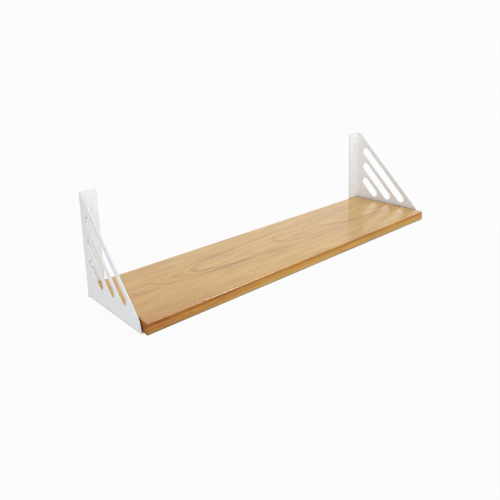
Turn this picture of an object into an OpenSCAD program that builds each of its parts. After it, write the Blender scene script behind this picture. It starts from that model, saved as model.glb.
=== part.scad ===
// Wall shelf: a solid oak board held between two folded sheet-steel brackets.
// Millimetres. X runs along the board, +Y points into the wall and +Z is up.
// The origin is the centre of the four wall-screw holes, on the wall plane.

/* [Board] */
// Length of the board, end to end
board_length = 797; // [400:1:1200]
// Depth of the board, from the wall side to the front edge
board_depth = 200; // [194:1:300]
// Thickness of the board
board_thickness = 21; // [18:0.5:30]
// Radius that eases the edges of the board's two faces
board_arris = 2; // [1:0.5:4]
// Radius of the board's four upright corners
board_corner = 4; // [2.5:0.5:12]
// Gap between each end of the board and the bracket beside it
end_gap = 1.5; // [1.5:0.1:4]

/* [Bracket] */
// Overall height of a bracket
bracket_height = 200; // [190:1:240]
// Reach of a bracket in front of the wall
bracket_reach = 188; // [180:1:193]
// Thickness of the steel sheet
sheet = 2.5; // [1.5:0.1:3]
// Inside radius of the folds
fold_inside = 1.5; // [0.5:0.1:1.5]
// Width of the two folded flanges, with the sheet
flange_width = 35; // [25:0.5:60]
// Radius of the flanges' free corners
flange_corner = 3; // [1:0.5:8]
// Level stretch at the top of the side plate before the slope starts
top_level = 10; // [9:0.5:20]
// Upright stretch at the front of the side plate below the slope
front_upright = 19; // [18.5:0.5:24]
// Rounding where the slope starts at the top
top_rounding = 9; // [1:0.5:9]
// Rounding where the slope ends at the front
front_rounding = 34; // [1:0.5:34]
// Width of the slit that parts the two folds at the lower rear corner
relief_width = 1.5; // [1:0.1:2]

/* [Slots] */
// Number of slanted slots
slot_count = 3; // [0:1:3]
// Width of a slot
slot_width = 20; // [10:0.5:20]
// Width of the bar between the sloping edge and the first slot
edge_bar = 10; // [8:0.5:12]
// Width of the bars between the slots
slot_bar = 8.5; // [6:0.5:9]
// Distance from the wall to the upper ends of the slots
slot_wall_gap = 20; // [15:0.5:25]
// Height of the slots' lower ends above the foot of the bracket
slot_foot_gap = 32; // [28:0.5:40]

/* [Screw holes] */
// Diameter of the wall-screw holes
wall_hole = 7; // [4:0.5:8]
// Distance from the top of the bracket to the upper wall-screw hole
upper_hole_drop = 35; // [20:1:50]
// Height of the lower wall-screw hole above the foot of the bracket
lower_hole_rise = 60; // [45:1:75]
// Distance from the wall to the rear board screws
rear_screw_reach = 45; // [25:1:70]
// Distance from the wall to the front board screws
front_screw_reach = 150; // [100:1:170]
// Diameter of the board screws' clearance holes in the bottom flange
screw_hole = 4.5; // [4.1:0.1:5]

/* [Board screws] */
// Diameter of a board screw
screw_diameter = 4; // [3:0.1:4]
// Length of a board screw below its head
screw_length = 16; // [12:1:18]
// Diameter of the pan head
head_diameter = 8; // [7:0.1:9]
// Height of the pan head
head_height = 2.6; // [2:0.1:3.5]
// Width of the arms of the cross recess
recess_width = 1.1; // [0.8:0.1:1.3]

/* [Hidden] */
$fn = 96;

past = 1; // how far a cutter runs past the surface that it opens

// Heights, from the foot of the brackets up
hole_spacing = bracket_height - upper_hole_drop - lower_hole_rise;
z_foot = -lower_hole_rise - hole_spacing / 2;
z_board = z_foot + sheet;
z_top = z_foot + bracket_height;

// Places along X: the board's end, the side plate's faces and the flanges' edge
x_end = board_length / 2;
x_inner = x_end + end_gap;
x_outer = x_inner + sheet;
x_flange = x_outer - flange_width;
x_screw = x_outer - flange_width / 2;

// The folds and the slit between them
fold_outside = fold_inside + sheet;
slit_front = -fold_outside - relief_width;
slit_rise = 1;

// The sloping edge, as rise over run, and the unit steps along and across it
slope = (bracket_height - front_upright) / (bracket_reach - top_level);
slope_step = sqrt(1 + slope * slope);

// Colours
oak = [0.80, 0.62, 0.40];
powder_white = [0.93, 0.93, 0.92];
zinc = [0.72, 0.72, 0.70];

// --- Outlines with true round corners ---------------------------------------

function unit(v) = v / norm(v);
function half_angle(a, b, c) = acos(unit(a - b) * unit(c - b)) / 2;
function touch(b, a, c, r) = b + unit(a - b) * r / tan(half_angle(a, b, c));
function centre(a, b, c, r) =
    b + unit(unit(a - b) + unit(c - b)) * r / sin(half_angle(a, b, c));

// A convex-cornered outline: radii gives each corner's radius, 0 for a sharp one
module rounded_outline(points, radii) {
    n = len(points);
    before = [for (i = [0 : n - 1]) points[(i + n - 1) % n]];
    after = [for (i = [0 : n - 1]) points[(i + 1) % n]];
    polygon([for (i = [0 : n - 1])
        each radii[i] == 0 ? [points[i]]
            : [touch(points[i], before[i], after[i], radii[i]),
               touch(points[i], after[i], before[i], radii[i])]]);
    for (i = [0 : n - 1])
        if (radii[i] > 0)
            intersection() {
                translate(centre(before[i], points[i], after[i], radii[i]))
                    circle(radii[i]);
                polygon([centre(before[i], points[i], after[i], radii[i]),
                         touch(points[i], before[i], after[i], radii[i]),
                         points[i],
                         touch(points[i], after[i], before[i], radii[i])]);
            }
}

module rounded_rectangle(low, high, r) {
    rounded_outline([low, [high[0], low[1]], high, [low[0], high[1]]], [r, r, r, r]);
}

// Outlines drawn in (Y, Z), (X, Z) and (X, Y), made into solids from one place to another
module along_x(from, to) {
    translate([from, 0, 0]) rotate([90, 0, 90]) linear_extrude(to - from) children();
}
module along_y(from, to) {
    translate([0, to, 0]) rotate([90, 0, 0]) linear_extrude(to - from) children();
}
module along_z(from, to) {
    translate([0, 0, from]) linear_extrude(to - from) children();
}

// --- Board screw -------------------------------------------------------------

// Shank with a pointed end, upwards from the board's underside
module screw_shank(diameter) {
    point = diameter;
    rotate_extrude()
        polygon([[0, -sheet], [diameter / 2, -sheet],
                 [diameter / 2, screw_length - sheet - point], [0, screw_length - sheet]]);
}

module screw_head() {
    rim = head_height * 0.35;
    crown = head_height - rim;
    half = head_diameter / 2;
    dome = (half * half + crown * crown) / (2 * crown);
    rotate_extrude() {
        translate([0, -rim]) square([half, rim]);
        intersection() {
            translate([0, -head_height + dome]) circle(dome);
            translate([0, -head_height]) square([half, crown]);
        }
    }
}

module cross_recess() {
    reach = head_diameter * 0.27;
    depth = head_height * 0.6;
    for (turn = [0, 90])
        rotate(turn)
            translate([-reach, -recess_width / 2, -head_height - past])
                cube([2 * reach, recess_width, depth + past]);
}

module place_screw(side, reach) {
    translate([side * x_screw, -reach, z_board]) children();
}

module board_screw(side, reach) {
    color(zinc)
        place_screw(side, reach) {
            screw_shank(screw_diameter);
            translate([0, 0, -sheet])
                difference() {
                    screw_head();
                    cross_recess();
                }
        }
}

// --- Shelf board ---------------------------------------------------------------

module shelf_board() {
    front = -sheet - board_depth;
    z_face = z_board + board_thickness;
    color(oak)
        difference() {
            intersection() {
                along_z(z_board, z_face)
                    rounded_rectangle([-x_end, front], [x_end, -sheet], board_corner);
                along_x(-x_end, x_end)
                    rounded_rectangle([front, z_board], [-sheet, z_face], board_arris);
                along_y(front, -sheet)
                    rounded_rectangle([-x_end, z_board], [x_end, z_face], board_arris);
            }
            for (side = [-1, 1], reach = [rear_screw_reach, front_screw_reach])
                place_screw(side, reach) screw_shank(screw_diameter);
        }
}

// --- Bracket, drawn for the right-hand end ---------------------------------------

// Cross-section of a bend and its flange. It is drawn with the outside corner at the
// origin, the flange to the left, and the side plate to come above the bend.
module fold_section() {
    translate([-flange_width, 0]) square([flange_width - fold_outside, sheet]);
    translate([-fold_outside, fold_outside])
        intersection() {
            difference() {
                circle(fold_outside);
                circle(fold_inside);
            }
            translate([0, -fold_outside]) square(fold_outside);
        }
}

// Side plate and wall flange: one fold that runs the full height of the bracket
module wall_fold() {
    intersection() {
        along_z(z_foot, z_top)
            translate([x_outer, 0]) mirror([0, 1]) {
                fold_section();
                translate([-sheet, fold_outside])
                    square([sheet, bracket_reach - fold_outside]);
            }
        along_x(x_flange, x_outer)
            rounded_outline(
                [[0, z_foot], [0, z_top],
                 [-top_level, z_top], [-bracket_reach, z_foot + front_upright],
                 [-bracket_reach, z_foot + fold_outside], [slit_front, z_foot + fold_outside],
                 [slit_front, z_foot + fold_outside + slit_rise],
                 [-fold_outside, z_foot + fold_outside + slit_rise], [-fold_outside, z_foot]],
                [0, 0, top_rounding, front_rounding, 0, 0, 0, 0, 0]);
        along_y(-bracket_reach, 0)
            rounded_outline(
                [[x_flange, z_foot], [x_outer, z_foot], [x_outer, z_top], [x_flange, z_top]],
                [flange_corner, 0, 0, flange_corner]);
    }
}

// Bottom flange: it starts at the slit, and its bend runs into the side plate
module bottom_fold() {
    intersection() {
        along_y(-bracket_reach, slit_front)
            translate([x_outer, z_foot]) fold_section();
        along_z(z_foot, z_foot + fold_outside)
            rounded_outline(
                [[x_flange, -bracket_reach], [x_outer, -bracket_reach],
                 [x_outer, slit_front], [x_flange, slit_front]],
                [flange_corner, 0, 0, flange_corner]);
    }
}

// One slot of the row, as an outline in (Y, Z). Its middle line runs at the distance
// across below the sloping edge, its upper end is in line with the others' above it,
// and its lower end is level with the others' beside it.
module slot_outline(across) {
    r = slot_width / 2;
    line_top = z_top + slope * top_level - across * slope_step;
    upper_y = slot_wall_gap + r;
    lower_z = z_foot + slot_foot_gap + r;
    upper = [-upper_y, line_top - slope * upper_y];
    lower = [-(line_top - lower_z) / slope, lower_z];
    run = norm(upper - lower);
    translate(lower) rotate(atan(slope)) {
        circle(r);
        translate([0, -r]) square([run, slot_width]);
        translate([run, 0]) circle(r);
    }
}

module slots() {
    for (i = [0 : 1 : slot_count - 1])
        along_x(x_inner - past, x_outer + past)
            slot_outline(edge_bar + slot_width / 2 + i * (slot_width + slot_bar));
}

module wall_screw_holes() {
    for (z = [-hole_spacing / 2, hole_spacing / 2])
        translate([x_screw, past, z]) rotate([90, 0, 0])
            cylinder(d = wall_hole, h = sheet + 2 * past);
}

module board_screw_holes() {
    for (reach = [rear_screw_reach, front_screw_reach])
        translate([x_screw, -reach, z_foot - past])
            cylinder(d = screw_hole, h = sheet + 2 * past);
}

module bracket() {
    color(powder_white)
        difference() {
            union() {
                wall_fold();
                bottom_fold();
            }
            slots();
            wall_screw_holes();
            board_screw_holes();
        }
}

// --- The assembly --------------------------------------------------------------

shelf_board();
mirror([1, 0, 0]) bracket();  // bracket_left
bracket();  // bracket_right
board_screw(-1, rear_screw_reach);  // board_screw_left_rear
board_screw(-1, front_screw_reach);  // board_screw_left_front
board_screw(1, rear_screw_reach);  // board_screw_right_rear
board_screw(1, front_screw_reach);  // board_screw_right_front
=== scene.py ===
"""Looks of the wall shelf: an oak board between two powder-coated folded brackets.

Everything is in metres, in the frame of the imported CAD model: +X along the board, +Y into
the wall, +Z up, with the origin between the wall-screw holes.
"""

import math

import bpy
from mathutils import Matrix, Vector

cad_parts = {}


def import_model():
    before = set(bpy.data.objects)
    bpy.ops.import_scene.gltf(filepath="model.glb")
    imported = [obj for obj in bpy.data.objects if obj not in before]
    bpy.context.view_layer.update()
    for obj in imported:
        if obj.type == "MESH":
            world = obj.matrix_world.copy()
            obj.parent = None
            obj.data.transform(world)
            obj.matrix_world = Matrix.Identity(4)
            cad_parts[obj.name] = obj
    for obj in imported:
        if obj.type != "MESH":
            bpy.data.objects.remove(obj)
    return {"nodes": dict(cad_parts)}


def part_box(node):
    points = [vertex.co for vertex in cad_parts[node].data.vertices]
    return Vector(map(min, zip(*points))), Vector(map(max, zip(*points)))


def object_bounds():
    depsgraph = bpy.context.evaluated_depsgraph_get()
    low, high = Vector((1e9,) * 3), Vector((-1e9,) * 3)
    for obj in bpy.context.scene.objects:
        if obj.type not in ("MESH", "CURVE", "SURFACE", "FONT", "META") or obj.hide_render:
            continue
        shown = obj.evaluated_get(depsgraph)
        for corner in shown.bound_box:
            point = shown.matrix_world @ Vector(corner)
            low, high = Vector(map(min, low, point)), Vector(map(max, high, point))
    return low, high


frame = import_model()
cad_low, cad_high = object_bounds()

MM = 0.001
SIDES = ("left", "right")
ENDS = ("rear", "front")
WHITE = (1.0, 1.0, 1.0)
PLAIN_IOR = 1.5  # of the wood, its lacquer and the powder coat

board_low, board_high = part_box("shelf_board")
foot_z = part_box("bracket_left")[0].z  # underside of the brackets' bottom flanges


# --- Shader nodes ---------------------------------------------------------------------


class Shader:
    """Fills the node tree of a material or world: each call adds a node and returns its
    output. The functions below call it s."""

    def __init__(self, owner):
        owner.use_nodes = True
        self.owner = owner
        self.tree = owner.node_tree
        self.tree.nodes.clear()

    def node(self, kind, **settings):
        made = self.tree.nodes.new(kind)
        for key, value in settings.items():
            setattr(made, key, value)
        return made

    def plug(self, socket, value):
        """Links an output to the socket, or sets the socket to a plain value."""
        if isinstance(value, bpy.types.NodeSocket):
            self.tree.links.new(value, socket)
        else:
            socket.default_value = value

    def place(self, scale=(1, 1, 1), shift=(0, 0, 0)):
        """The CAD position, scaled along each axis."""
        where = self.node("ShaderNodeTexCoord").outputs["Object"]
        mapping = self.node("ShaderNodeMapping")
        self.plug(mapping.inputs["Vector"], where)
        mapping.inputs["Scale"].default_value = scale
        mapping.inputs["Location"].default_value = shift
        return mapping.outputs["Vector"]

    def axes(self, vector):
        split = self.node("ShaderNodeSeparateXYZ")
        self.plug(split.inputs[0], vector)
        return split.outputs["X"], split.outputs["Y"], split.outputs["Z"]

    def math(self, operation, *values, clamp=False):
        made = self.node("ShaderNodeMath", operation=operation, use_clamp=clamp)
        for socket, value in zip(made.inputs, values):
            self.plug(socket, value)
        return made.outputs[0]

    def plus(self, first, second):
        return self.math("ADD", first, second)

    def minus(self, first, second):
        return self.math("SUBTRACT", first, second)

    def times(self, first, second):
        return self.math("MULTIPLY", first, second)

    def over(self, first, second):
        return self.math("DIVIDE", first, second)

    def length(self, *values):
        total = 0.0
        for value in values:
            total = self.plus(total, self.times(value, value))
        return self.math("SQRT", total)

    def noise(self, waves, shift=(0, 0, 0), detail=2.0, roughness=0.5):
        """A noise between 0 and 1 with so many waves to the metre along each axis. The
        shift keeps it apart from the other noises."""
        made = self.node("ShaderNodeTexNoise")
        self.plug(made.inputs["Vector"], self.place(waves, shift))
        made.inputs["Scale"].default_value = 1.0
        made.inputs["Detail"].default_value = detail
        made.inputs["Roughness"].default_value = roughness
        return made.outputs["Fac"]

    def sway(self, width, *noise, **settings):
        """A noise between about -width and +width."""
        return self.times(self.minus(self.noise(*noise, **settings), 0.5), 2 * width)

    def spread(self, value, low, high, to_low=0.0, to_high=1.0):
        """Maps low..high to to_low..to_high with a smooth step, held at the ends."""
        made = self.node("ShaderNodeMapRange", interpolation_type="SMOOTHSTEP")
        for socket, number in zip(made.inputs, (value, low, high, to_low, to_high)):
            self.plug(socket, number)
        return made.outputs[0]

    def hump(self, value, low, middle, high):
        """Rises from 0 at low to 1 at the middle and falls to 0 again at high."""
        return self.times(self.spread(value, low, middle),
                          self.spread(value, middle, high, 1.0, 0.0))

    def mix(self, amount, first, second, blend="MIX"):
        made = self.node("ShaderNodeMix", data_type="RGBA", blend_type=blend)
        self.plug(made.inputs[0], amount)
        for socket, colour in ((made.inputs[6], first), (made.inputs[7], second)):
            if isinstance(colour, tuple):
                colour = (*colour, 1)
            self.plug(socket, colour)
        return made.outputs[2]

    def tint(self, amount, colour, by):
        """The colour, multiplied by another where the amount is 1."""
        return self.mix(amount, colour, by, blend="MULTIPLY")

    def eased(self, radius):
        """The surface direction, rounded near the edges of the piece."""
        made = self.node("ShaderNodeBevel", samples=6)
        made.inputs["Radius"].default_value = radius
        return made.outputs["Normal"]

    def openness(self, reach):
        """1 on open surfaces, less where other surfaces are within reach."""
        made = self.node("ShaderNodeAmbientOcclusion", samples=6)
        made.inputs["Distance"].default_value = reach
        return made.outputs["AO"]

    def bump(self, height, distance, under, strength=1.0):
        made = self.node("ShaderNodeBump")
        made.inputs["Strength"].default_value = strength
        made.inputs["Distance"].default_value = distance
        self.plug(made.inputs["Height"], height)
        self.plug(made.inputs["Normal"], under)
        return made.outputs["Normal"]

    def glow(self, kind, colour, strength):
        made = self.node(kind)
        made.inputs["Color"].default_value = (*colour, 1)
        self.plug(made.inputs["Strength"], strength)
        return made.outputs[0]

    def either(self, amount, first, second):
        made = self.node("ShaderNodeMixShader")
        for socket, value in zip(made.inputs, (amount, first, second)):
            self.plug(socket, value)
        return made.outputs[0]

    def principled(self, **inputs):
        """Ends a material. The names of the inputs are written with _ for a space."""
        shader = self.node("ShaderNodeBsdfPrincipled")
        for name, value in inputs.items():
            self.plug(shader.inputs[name.replace("_", " ")], value)
        return self.end("ShaderNodeOutputMaterial", shader.outputs[0])

    def end(self, kind, surface):
        self.plug(self.node(kind).inputs["Surface"], surface)
        return self.owner


# --- Powder coat and zinc -------------------------------------------------------------

SHEET = 2.5 * MM  # thickness of the sheet steel
FOLD = 4 * MM  # outside radius of its folds
SHEET_EASE = 0.5 * MM  # how far the coating rounds the cut edges of the sheet
COAT_THIN = (0.868, 0.873, 0.874)  # the powder coat where its film is thin
COAT_FULL = (0.884, 0.888, 0.888)  # and where it is full
COAT_ROUGH = (0.44, 0.50)  # its roughness in both places
COAT_CUT_SHADE = (0.80, 0.80, 0.80)  # the coat is multiplied by this on the side plates' cut edges, as painted shade that dims their highlights
# edges, where the powder runs thin
COAT_FOOT_SHADE = (0.60, 0.60, 0.60)  # and by this as painted shade on the outside of the bends at the foot
PEEL_WAVES = (160, 160, 160)  # of the orange peel
PEEL_DEPTH = 0.03 * MM
DUST_WAVES = (900, 900, 900)  # of the powder's own grain
DUST_DEPTH = 0.008 * MM
FILM_WAVES = (22, 22, 22)  # of the slow changes in the film

ZINC_DULL = (0.60, 0.60, 0.56)
ZINC_BRIGHT = (0.72, 0.72, 0.71)
ZINC_ROUGH = (0.24, 0.38)
ZINC_EASE = 0.15 * MM  # how far the screws' edges are rounded
CLOUD_WAVES = (450, 450, 450)
GRAIN_WAVES = (3500, 3500, 3500)
GRAIN_DEPTH = 0.01 * MM

inner_face = cad_high.x - SHEET  # how far the side plates' inner faces are from the middle


def cut_edges(s):
    """1 on the cut edges of the side plates, along the slots and the sloping edge, and 0
    on the plates' flat faces, the flanges and the bends."""
    x, y, z = s.axes(s.place())
    facing_x, _, _ = s.axes(s.node("ShaderNodeNewGeometry").outputs["Normal"])
    cut = s.spread(s.math("ABSOLUTE", facing_x), 0.3, 0.8, 1.0, 0.0)
    plate = s.spread(s.math("ABSOLUTE", x), inner_face - 1.0 * MM, inner_face - 0.2 * MM)
    rear_fold = cad_high.y - FOLD
    off_wall = s.spread(y, rear_fold - 5 * MM, rear_fold - 2 * MM, 1.0, 0.0)
    foot_fold = foot_z + FOLD
    off_foot = s.spread(z, foot_fold + 0.5 * MM, foot_fold + 3.5 * MM)
    return s.times(s.times(cut, plate), s.times(off_wall, off_foot))


def painted_foot_shade(s):
    """1 on the outside of the bends along the foot, where shade is painted, fading out
    above them.
    """
    x, _, z = s.axes(s.place())
    outside = s.spread(s.math("ABSOLUTE", x), inner_face + 0.2 * MM, inner_face + 0.8 * MM)
    foot_fold = foot_z + FOLD
    lower = s.spread(z, foot_fold - 1.5 * MM, foot_fold + 1.5 * MM, 1.0, 0.0)
    return s.times(outside, lower)


def powder_coat():
    """Satin white powder coat: a fine orange peel and a barely uneven film, with painted
    shade on the cut edges and on the bends at the foot."""
    s = Shader(bpy.data.materials.new("white_powder_coat"))
    normal = s.bump(s.noise(PEEL_WAVES, detail=1), PEEL_DEPTH, s.eased(SHEET_EASE))
    normal = s.bump(s.noise(DUST_WAVES, roughness=0.55), DUST_DEPTH, normal)
    film = s.spread(s.noise(FILM_WAVES, detail=3), 0.3, 0.7)
    colour = s.mix(film, COAT_THIN, COAT_FULL)
    # Painted shade on the cut edges, which dims their highlights
    colour = s.tint(cut_edges(s), colour, COAT_CUT_SHADE)
    # Painted shade on the outside of the bends at the foot
    colour = s.tint(painted_foot_shade(s), colour, COAT_FOOT_SHADE)
    rough = s.spread(film, 0.0, 1.0, *COAT_ROUGH)
    return s.principled(Base_Color=colour, Roughness=rough, Normal=normal, IOR=PLAIN_IOR)


def zinc():
    """Bright zinc plate, slightly uneven, with a yellowish cast in places."""
    s = Shader(bpy.data.materials.new("zinc_screw"))
    cloud = s.spread(s.noise(CLOUD_WAVES, detail=3), 0.35, 0.65)
    grain = s.noise(GRAIN_WAVES)
    colour = s.mix(cloud, ZINC_DULL, ZINC_BRIGHT)
    rough = s.spread(grain, 0.3, 0.7, *ZINC_ROUGH)
    normal = s.bump(grain, GRAIN_DEPTH, s.eased(ZINC_EASE))
    return s.principled(Base_Color=colour, Metallic=1.0, Roughness=rough, Normal=normal)


# --- Oak: the rings -------------------------------------------------------------------
# One plain-sawn plank. Its rings are a solid field, so the arches of the top, the straight
# lines of the front edge and the arcs of the end grain belong together.

# Each arch: where its tip lies along the board, and how dark its latewood is.
ARCHES = ((-0.375, 0.25), (-0.315, 0.35), (-0.268, 0.60), (-0.228, 1.00), (-0.130, 0.25),
          (-0.008, 0.70), (0.045, 0.25), (0.102, 0.60), (0.138, 0.70), (0.215, 0.40),
          (0.300, 0.40), (0.360, 0.35))
ARCH_REACH = 0.088  # how far an arch runs along the board until its arms turn straight
ARCH_FRONT = 0.042  # from the arches' middle line to the arm on the front side
ARCH_BACK = 0.030  # and to the arm on the wall side
ARCH_TURN = 0.010  # how gently one changes into the other
ARM_SLOPE = 18.0  # how fast the arms straighten out beyond that
ARM_EASE = 0.014  # how gently they do so
ARM_FADE = 0.70  # how much of an arch's darkness is gone where its arms are straight
BACK_FADE = 0.6  # how much of it is left behind the middle line
LINE = 0.0100  # width of an arch's latewood, across the grain
EARLY = 0.0026  # how sharply it starts on its outer side
TIP = 1.6  # keeps the latewood from thinning out at the tip
CORE_BEHIND_FRONT = 0.118  # from the board's front edge to the arches' middle line
PITH_ABOVE = 0.060  # the tree's core runs this far above the board's top
WANDER = 0.014  # how far the arches' middle line wanders across the board
RING_WAVER = 0.0030  # how unevenly the rings run
TIP_WAVER = 0.022  # how unevenly the arches end along the board

FINE_TIPS = 0.019  # distance between the faint rings, along the board at the tips
FINE_ARMS = 0.0046  # and across the straight grain
FINE_PHASE = 0.15  # sets where the straight rings fall
FINE_SHAPE = (0.1, 0.75, 1.0)  # where, between two rings, the dark starts, peaks and ends
FINE_TIP_SHARE = 0.6  # how dark the faint rings are at the tips, to those of the arms

EDGE_LINES = ((-1.2, 3.5, 9.5, 0.50), (15.5, 19.5, 23.0, 0.35))  # where dark lines come out
# on the front edge, in mm below the top, and how dark they are
EDGE_DIP = 0.6  # how steeply they run down into the board
EDGE_WAVER = 2.5 * MM  # how unevenly they run
EDGE_DARKER = (0.02, 0.17, 0.31)  # the stretch of the board on which they are darker
EDGE_GAIN = 0.45  # and by how much at its middle


def in_tree(s):
    """How far a point is across from the arches' middle line and away from it, measured
    around the tree's core."""
    _, y, z = s.axes(s.place())
    across = s.minus(y, board_low.y + CORE_BEHIND_FRONT)
    across = s.plus(across, s.sway(WANDER, (2.2, 6, 6), detail=1))
    down = s.minus(board_high.z, z)
    sag = s.times(down, s.plus(down, 2 * PITH_ABOVE))
    away = s.math("SQRT", s.plus(s.times(across, across), sag))
    away = s.plus(away, s.sway(RING_WAVER, (22, 150, 150), (1, 5, 0), detail=3))
    return across, away


def arch_field(s, across, away):
    """Where along the board the tip of a point's own arch lies, how fast that changes
    across the grain, and how straight the arch's arms are there."""
    x, _, _ = s.axes(s.place())
    # An arch bends back slowly at its tip, and its arms turn straight beyond half
    half = s.spread(across, -ARCH_TURN, ARCH_TURN, ARCH_FRONT, ARCH_BACK)
    beyond = s.minus(away, half)
    straight = s.spread(beyond, -ARM_EASE, ARM_EASE)
    part = s.over(away, half)
    arch = s.plus(s.times(s.times(part, part), ARCH_REACH),
                  s.times(s.math("SMOOTH_MAX", beyond, 0.0, ARM_EASE), ARM_SLOPE))
    tip = s.plus(s.minus(x, arch), s.sway(TIP_WAVER, (9, 34, 34), (3, 1, 2), detail=3))
    steep = s.over(s.times(part, 2 * ARCH_REACH), half)
    steep = s.plus(steep, s.times(straight, ARM_SLOPE))
    return tip, s.plus(steep, TIP), straight


def dark_arches(s, tip, steep, straight, across):
    """The darkness of the arches, which fades along their arms and behind the middle."""
    dark = 0.0
    for place, depth in ARCHES:
        past = s.over(s.minus(tip, place), steep)
        dark = s.plus(dark, s.times(s.hump(past, -EARLY, 0.0, LINE), depth))
    fade = s.minus(1.0, s.times(straight, ARM_FADE))
    fade = s.times(fade, s.spread(across, -0.010, 0.012, 1.0, BACK_FADE))
    return s.times(dark, fade)


def faint_rings(s, tip, straight, away):
    """The darkness of the faint rings, at the arches' tips and along their arms."""
    tips = s.hump(s.math("FRACT", s.over(tip, FINE_TIPS)), *FINE_SHAPE)
    turn = s.plus(s.over(away, FINE_ARMS), FINE_PHASE)
    arms = s.hump(s.math("FRACT", turn), *FINE_SHAPE)
    return s.plus(s.times(s.minus(1.0, straight), s.times(tips, FINE_TIP_SHARE)),
                  s.times(straight, arms))


def edge_lines(s):
    """The darkness of the lines that come out on the front edge."""
    x, y, z = s.axes(s.place())
    below = s.minus(s.minus(board_high.z, z), s.times(s.minus(y, board_low.y), EDGE_DIP))
    below = s.plus(below, s.sway(EDGE_WAVER, (5, 60, 60), (7, 2, 5)))
    dark = 0.0
    for start, middle, end, depth in EDGE_LINES:
        line = s.hump(below, start * MM, middle * MM, end * MM)
        dark = s.plus(dark, s.times(line, depth))
    return s.times(dark, s.plus(1.0, s.times(s.hump(x, *EDGE_DARKER), EDGE_GAIN)))


# --- Oak: the board -------------------------------------------------------------------

OAK_LIGHT = (0.635, 0.378, 0.078)
OAK_DARK = (0.330, 0.120, 0.003)
OAK_HEART = (0.82, 0.66, 0.45)  # the oak is multiplied by this in the heartwood
OAK_EDGE = (0.91, 0.78, 0.58)  # and by this on the front edge, where the lacquer sank in
OAK_LOW = (0.78, 0.86, 1.35)  # and by this lower down on that edge
OAK_END = (0.80, 0.58, 0.36)  # and by this on the end grain, which soaks it up
OAK_PAINTED_SHADE = (0.24, 0.15, 0.09)  # and by this as painted shade, along the brackets and on the lower front arris
OAK_PORE = (0.150, 0.060, 0.012)
OAK_FLECK = (0.64, 0.38, 0.11)

HEART_BORDER = (-0.40, -0.10)  # where along the board the browner left end fades out
HEART_WAVER = 0.10  # how unevenly it does so
HEART_DEPTH = 0.05  # how far behind the front edge it has weakened

ARCH_SHARE = 0.72  # how much each kind of marking adds to the wood's darkness: the arches,
FAINT_SHARE = (0.24, 0.42)  # the faint rings, first on the right and then at the left end,
CLOUD_SHARE = 0.55  # the soft clouds
FIBRE_SHARE = 0.60  # and the fibres
PLAIN_TONE = 0.14  # the darkness of plain wood
PORE_SHARE = 0.40  # how strongly the pores show
FLECK_SHARE = 0.22  # and the flecks

ARRIS_EASE = 1.6 * MM  # smooths the facets of the board's rounded edges
RELIEF = 0.05 * MM  # depth of the fibres and the pores
OAK_ROUGH = 0.55  # of the wood under the lacquer
PORE_ROUGH = 0.2  # how much rougher its pores are
OAK_SHINE = 0.2  # the wood's own specular level, as most of the shine is the lacquer's
LACQUER_ROUGH = 0.15
SOAKED = 0.9  # how much of the lacquer is gone where it is soaked away, and under the painted shade
UNDER_ARRIS = 0.7  # the share of that on the front edge, below its upper arris
SHADE_REACH = 12 * MM  # how near a bracket must come for the painted shade on the rims


def towards_left(s):
    """1 at the board's left end and 0 from near its middle on."""
    x, _, _ = s.axes(s.place())
    place = s.plus(x, s.sway(HEART_WAVER, (2.4, 9, 9), (5, 5, 5)))
    return s.spread(place, *HEART_BORDER, 1, 0)


def rims(s):
    """Three masks: the ends of the board, its front edge, and the painted shade, which
    darkens the rims beside the brackets where the brackets stand near, and the lower front
    arris."""
    x, y, z = s.axes(s.place())
    past_end = s.minus(s.math("ABSOLUTE", x), board_high.x)
    end = s.spread(past_end, -2.0 * MM, -0.8 * MM)
    edge = s.spread(y, board_low.y + 0.5 * MM, board_low.y + 2 * MM, 1.0, 0.0)
    rim = s.math("MAXIMUM", s.spread(past_end, -6.0 * MM, -3.5 * MM),
                 s.spread(y, board_high.y - 4 * MM, board_high.y - 2 * MM))
    # Painted shade: the rims are darker where a bracket stands near them
    painted_shade = s.times(s.spread(s.openness(SHADE_REACH), 0.74, 0.90, 1.0, 0.0), rim)
    # Painted shade along the lower front arris
    foot = s.spread(z, board_low.z + 0.3 * MM, board_low.z + 2.2 * MM, 0.6, 0.0)
    return end, edge, s.math("MAXIMUM", painted_shade, s.times(foot, edge))


def darkness(s, fibre, left):
    """How dark the wood is. The rings come and go in patches, and the arches are broken
    up along the fibres."""
    across, away = in_tree(s)
    tip, steep, straight = arch_field(s, across, away)
    broken = s.spread(s.noise((28, 260, 260), (6, 3, 8), detail=3), 0.34, 0.60, 0.50, 1.0)
    arches = s.times(dark_arches(s, tip, steep, straight, across), broken)
    patch = s.spread(s.noise((6, 22, 22), (9, 2, 4)), 0.36, 0.62, 0.15, 1.0)
    faint = s.times(faint_rings(s, tip, straight, away), patch)

    tone = s.times(arches, ARCH_SHARE)
    tone = s.plus(tone, s.times(faint, s.spread(left, 0, 1, *FAINT_SHARE)))
    tone = s.plus(tone, edge_lines(s))
    tone = s.plus(tone, s.sway(CLOUD_SHARE, (10, 90, 90), (2, 7, 1), detail=3))
    tone = s.plus(tone, s.times(s.minus(fibre, 0.5), FIBRE_SHARE))
    return s.math("ADD", tone, PLAIN_TONE, clamp=True)


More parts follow.
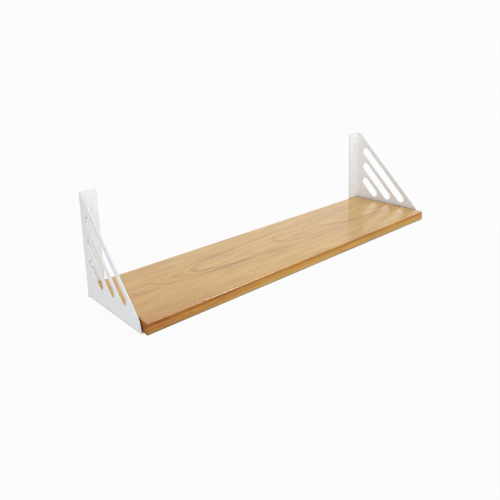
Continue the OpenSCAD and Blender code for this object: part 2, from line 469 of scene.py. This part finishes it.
def oak_colour(s, fibre, pores, end, edge, painted_shade):
    """The wood's colour, with its heartwood and edges, the painted shade beside the
    brackets and on the lower front arris, and the short dark pores and pale flecks that are
    drawn out along the grain."""
    _, y, z = s.axes(s.place())
    left = towards_left(s)
    colour = s.mix(darkness(s, fibre, left), OAK_LIGHT, OAK_DARK)
    # The front left corner is browner heartwood
    to_front = s.spread(y, board_low.y, board_low.y + HEART_DEPTH, 1.0, 0.35)
    colour = s.tint(s.times(left, to_front), colour, OAK_HEART)
    low = s.spread(z, board_low.z + 3 * MM, board_low.z + 9 * MM, 1.0, 0.0)
    colour = s.tint(edge, colour, s.mix(low, OAK_EDGE, OAK_LOW))
    colour = s.tint(end, colour, OAK_END)
    # Painted shade beside the brackets and on the lower front arris
    colour = s.tint(painted_shade, colour, OAK_PAINTED_SHADE)
    flecks = s.spread(s.noise((70, 500, 900), (1, 8, 3), detail=1), 0.68, 0.74)
    colour = s.mix(s.times(pores, PORE_SHARE), colour, OAK_PORE)
    return s.mix(s.times(flecks, FLECK_SHARE), colour, OAK_FLECK)


def lacquer(s, end, edge, painted_shade):
    """How much lacquer lies on the wood: all of it on the top and on the front edge's upper
    arris, less below that, and hardly any on the end grain, which soaks it up. It is also
    taken off under the painted shade, so that no reflection lifts that shade."""
    _, _, z = s.axes(s.place())
    below = s.spread(z, board_high.z - 2.5 * MM, board_high.z - 1.0 * MM, UNDER_ARRIS, 0.0)
    bare = s.math("MAXIMUM", s.math("MAXIMUM", end, painted_shade), s.times(edge, below))
    return s.minus(1.0, s.times(bare, SOAKED))


def oak():
    """Light oak under a satin lacquer."""
    s = Shader(bpy.data.materials.new("oak_board"))
    fibre = s.noise((14, 420, 420), detail=4, roughness=0.62)
    pores = s.spread(s.noise((110, 2300, 2300), (4, 1, 6), detail=1), 0.655, 0.71)
    end, edge, painted_shade = rims(s)
    # The front edge is sanded smooth
    _, y, _ = s.axes(s.place())
    open_grain = s.spread(y, board_low.y + 2 * MM, board_low.y + 5 * MM, 0.15, 1.0)
    relief = s.times(s.minus(s.times(fibre, 0.35), pores), open_grain)
    return s.principled(Base_Color=oak_colour(s, fibre, pores, end, edge, painted_shade),
                        Roughness=s.plus(s.times(pores, PORE_ROUGH), OAK_ROUGH),
                        Normal=s.bump(relief, RELIEF, s.eased(ARRIS_EASE), strength=0.6),
                        IOR=PLAIN_IOR, Specular_IOR_Level=OAK_SHINE,
                        Coat_Weight=lacquer(s, end, edge, painted_shade),
                        Coat_Roughness=LACQUER_ROUGH, Coat_IOR=PLAIN_IOR)


# --- Pieces ---------------------------------------------------------------------------


def dress(node, material):
    frame["nodes"][node].material_slots[0].material = material


def dress_all():
    coat = powder_coat()
    zinc_plate = zinc()
    dress("shelf_board", oak())
    for side in SIDES:
        dress(f"bracket_{side}", coat)
        for end in ENDS:
            dress(f"board_screw_{side}_{end}", zinc_plate)


# --- Camera ---------------------------------------------------------------------------

CAMERA_PLACE = (-0.7864, -0.8876, 0.3371)
CAMERA_TURN = (-39.272, 12.067, -2.184)  # azimuth, elevation and roll, in degrees
CAMERA_LENS = 38.965  # in mm, on a sensor of the width below
CAMERA_SENSOR = 36
CAMERA_SHIFT = (0.04916, -0.18287)  # the picture isn't centred on the lens


def camera():
    """To the left of the shelf and a little above it."""
    azimuth, elevation, roll = (math.radians(angle) for angle in CAMERA_TURN)
    forward = Vector((-math.sin(azimuth) * math.cos(elevation),
                      math.cos(azimuth) * math.cos(elevation), -math.sin(elevation)))
    data = bpy.data.cameras.new("camera")
    data.sensor_width = CAMERA_SENSOR
    data.lens = CAMERA_LENS
    data.shift_x, data.shift_y = CAMERA_SHIFT
    made = bpy.data.objects.new("camera", data)
    bpy.context.scene.collection.objects.link(made)
    turn = forward.to_track_quat("-Z", "Y").to_matrix() @ Matrix.Rotation(roll, 3, "Z")
    made.matrix_world = Matrix.Translation(CAMERA_PLACE) @ turn.to_4x4()
    bpy.context.scene.camera = made


# --- Studio ---------------------------------------------------------------------------

PALE = 0.973  # the backdrop as the camera sees it
AMBIENT = 0.48  # the soft light from all round
AMBIENT_COLOUR = (1.0, 0.992, 0.975)
FLOOR_DROP = 1.0  # from the shelf down to the floor
FLOOR_EDGE = 6.0  # half the floor's width
FLOOR_FADE = (0.8, 3.6)  # how far from its middle it starts to fade, and has faded
FLOOR_GREY = (0.90, 0.90, 0.90, 1)
FLOOR_SHARE = 0.90  # how much of it is the backdrop's glow: the rest takes the shadow
FLOOR_PALE = 0.998  # makes up for the shaded share of the floor below the shelf


def shown_rays(s):
    """1 for the rays that should meet the pale backdrop, 0 for the ones that light."""
    path = s.node("ShaderNodeLightPath")
    seen = s.math("MAXIMUM", path.outputs["Is Camera Ray"], path.outputs["Is Glossy Ray"])
    return s.math("MAXIMUM", seen, path.outputs["Is Transmission Ray"])


def world():
    made = bpy.data.worlds.new("studio")
    bpy.context.scene.world = made
    s = Shader(made)
    lit = s.glow("ShaderNodeBackground", AMBIENT_COLOUR, AMBIENT)
    shown = s.glow("ShaderNodeBackground", WHITE, PALE)
    s.end("ShaderNodeOutputWorld", s.either(shown_rays(s), lit, shown))


def floor_material():
    s = Shader(bpy.data.materials.new("floor"))
    diffuse = s.node("ShaderNodeBsdfDiffuse")
    diffuse.inputs["Color"].default_value = FLOOR_GREY
    x, y, _ = s.axes(s.place())
    out = s.spread(s.length(x, y), *FLOOR_FADE)
    pale = s.glow("ShaderNodeEmission", WHITE, s.spread(out, 0, 1, FLOOR_PALE, PALE))
    share = s.times(shown_rays(s), s.spread(out, 0, 1, FLOOR_SHARE, 1.0))
    return s.end("ShaderNodeOutputMaterial", s.either(share, diffuse.outputs[0], pale))


def floor():
    """A wide pale floor well below the shelf: it fades into the backdrop at its edge."""
    mesh = bpy.data.meshes.new("floor")
    far = FLOOR_EDGE
    corners = [(-far, -far, 0), (far, -far, 0), (far, far, 0), (-far, far, 0)]
    mesh.from_pydata(corners, [], [(0, 1, 2, 3)])
    mesh.materials.append(floor_material())
    made = bpy.data.objects.new("floor", mesh)
    bpy.context.scene.collection.objects.link(made)
    made.location = (0, 0, cad_low.z - FLOOR_DROP)


def softbox(name, offset, size, power, colour=WHITE, bounces=True):
    """An area light at an offset from the shelf's middle, facing it. Views don't show it,
    but the lacquer and the coating mirror it. Without bounces it adds nothing to the warm
    light that the oak throws on the brackets."""
    middle = (cad_low + cad_high) / 2
    data = bpy.data.lights.new(name, "AREA")
    data.shape = "RECTANGLE"
    data.size, data.size_y = size
    data.energy = power
    data.color = colour
    made = bpy.data.objects.new(name, data)
    bpy.context.scene.collection.objects.link(made)
    made.visible_camera = False
    if not bounces:
        data.cycles.max_bounces = 0
    made.location = middle + Vector(offset)
    made.rotation_euler = (-Vector(offset)).to_track_quat("-Z", "Y").to_euler()
    return made


def glint(lamp, node):
    """Leaves only the lamp's mirror image in one node's lacquer."""
    lamp.visible_diffuse = False
    only = bpy.data.collections.new(lamp.name)
    only.objects.link(frame["nodes"][node])
    lamp.light_linking.receiver_collection = only


def lamps():
    softbox("key", offset=(1.6, -1.75, 2.2), size=(1.1, 0.8), power=16)
    softbox("front", offset=(-0.9, -2.4, 0.8), size=(3.0, 2.4), power=36,
            colour=(0.91, 0.96, 1.0))
    softbox("left", offset=(-2.2, -0.3, -0.5), size=(1.6, 1.6), power=7.2,
            colour=(0.90, 0.96, 1.0))
    softbox("top", offset=(0.0, -0.2, 2.2), size=(2.0, 1.6), power=17, bounces=False)
    softbox("back", offset=(1.96, 2.26, 1.25), size=(3.3, 1.5), power=3)
    arris = softbox("arris", offset=(1.7, -1.75, 2.2), size=(0.8, 0.8), power=60,
                    bounces=False)
    glint(arris, "shelf_board")


dress_all()
camera()
world()
floor()
lamps()

bpy.context.scene.view_settings.view_transform = "Standard"
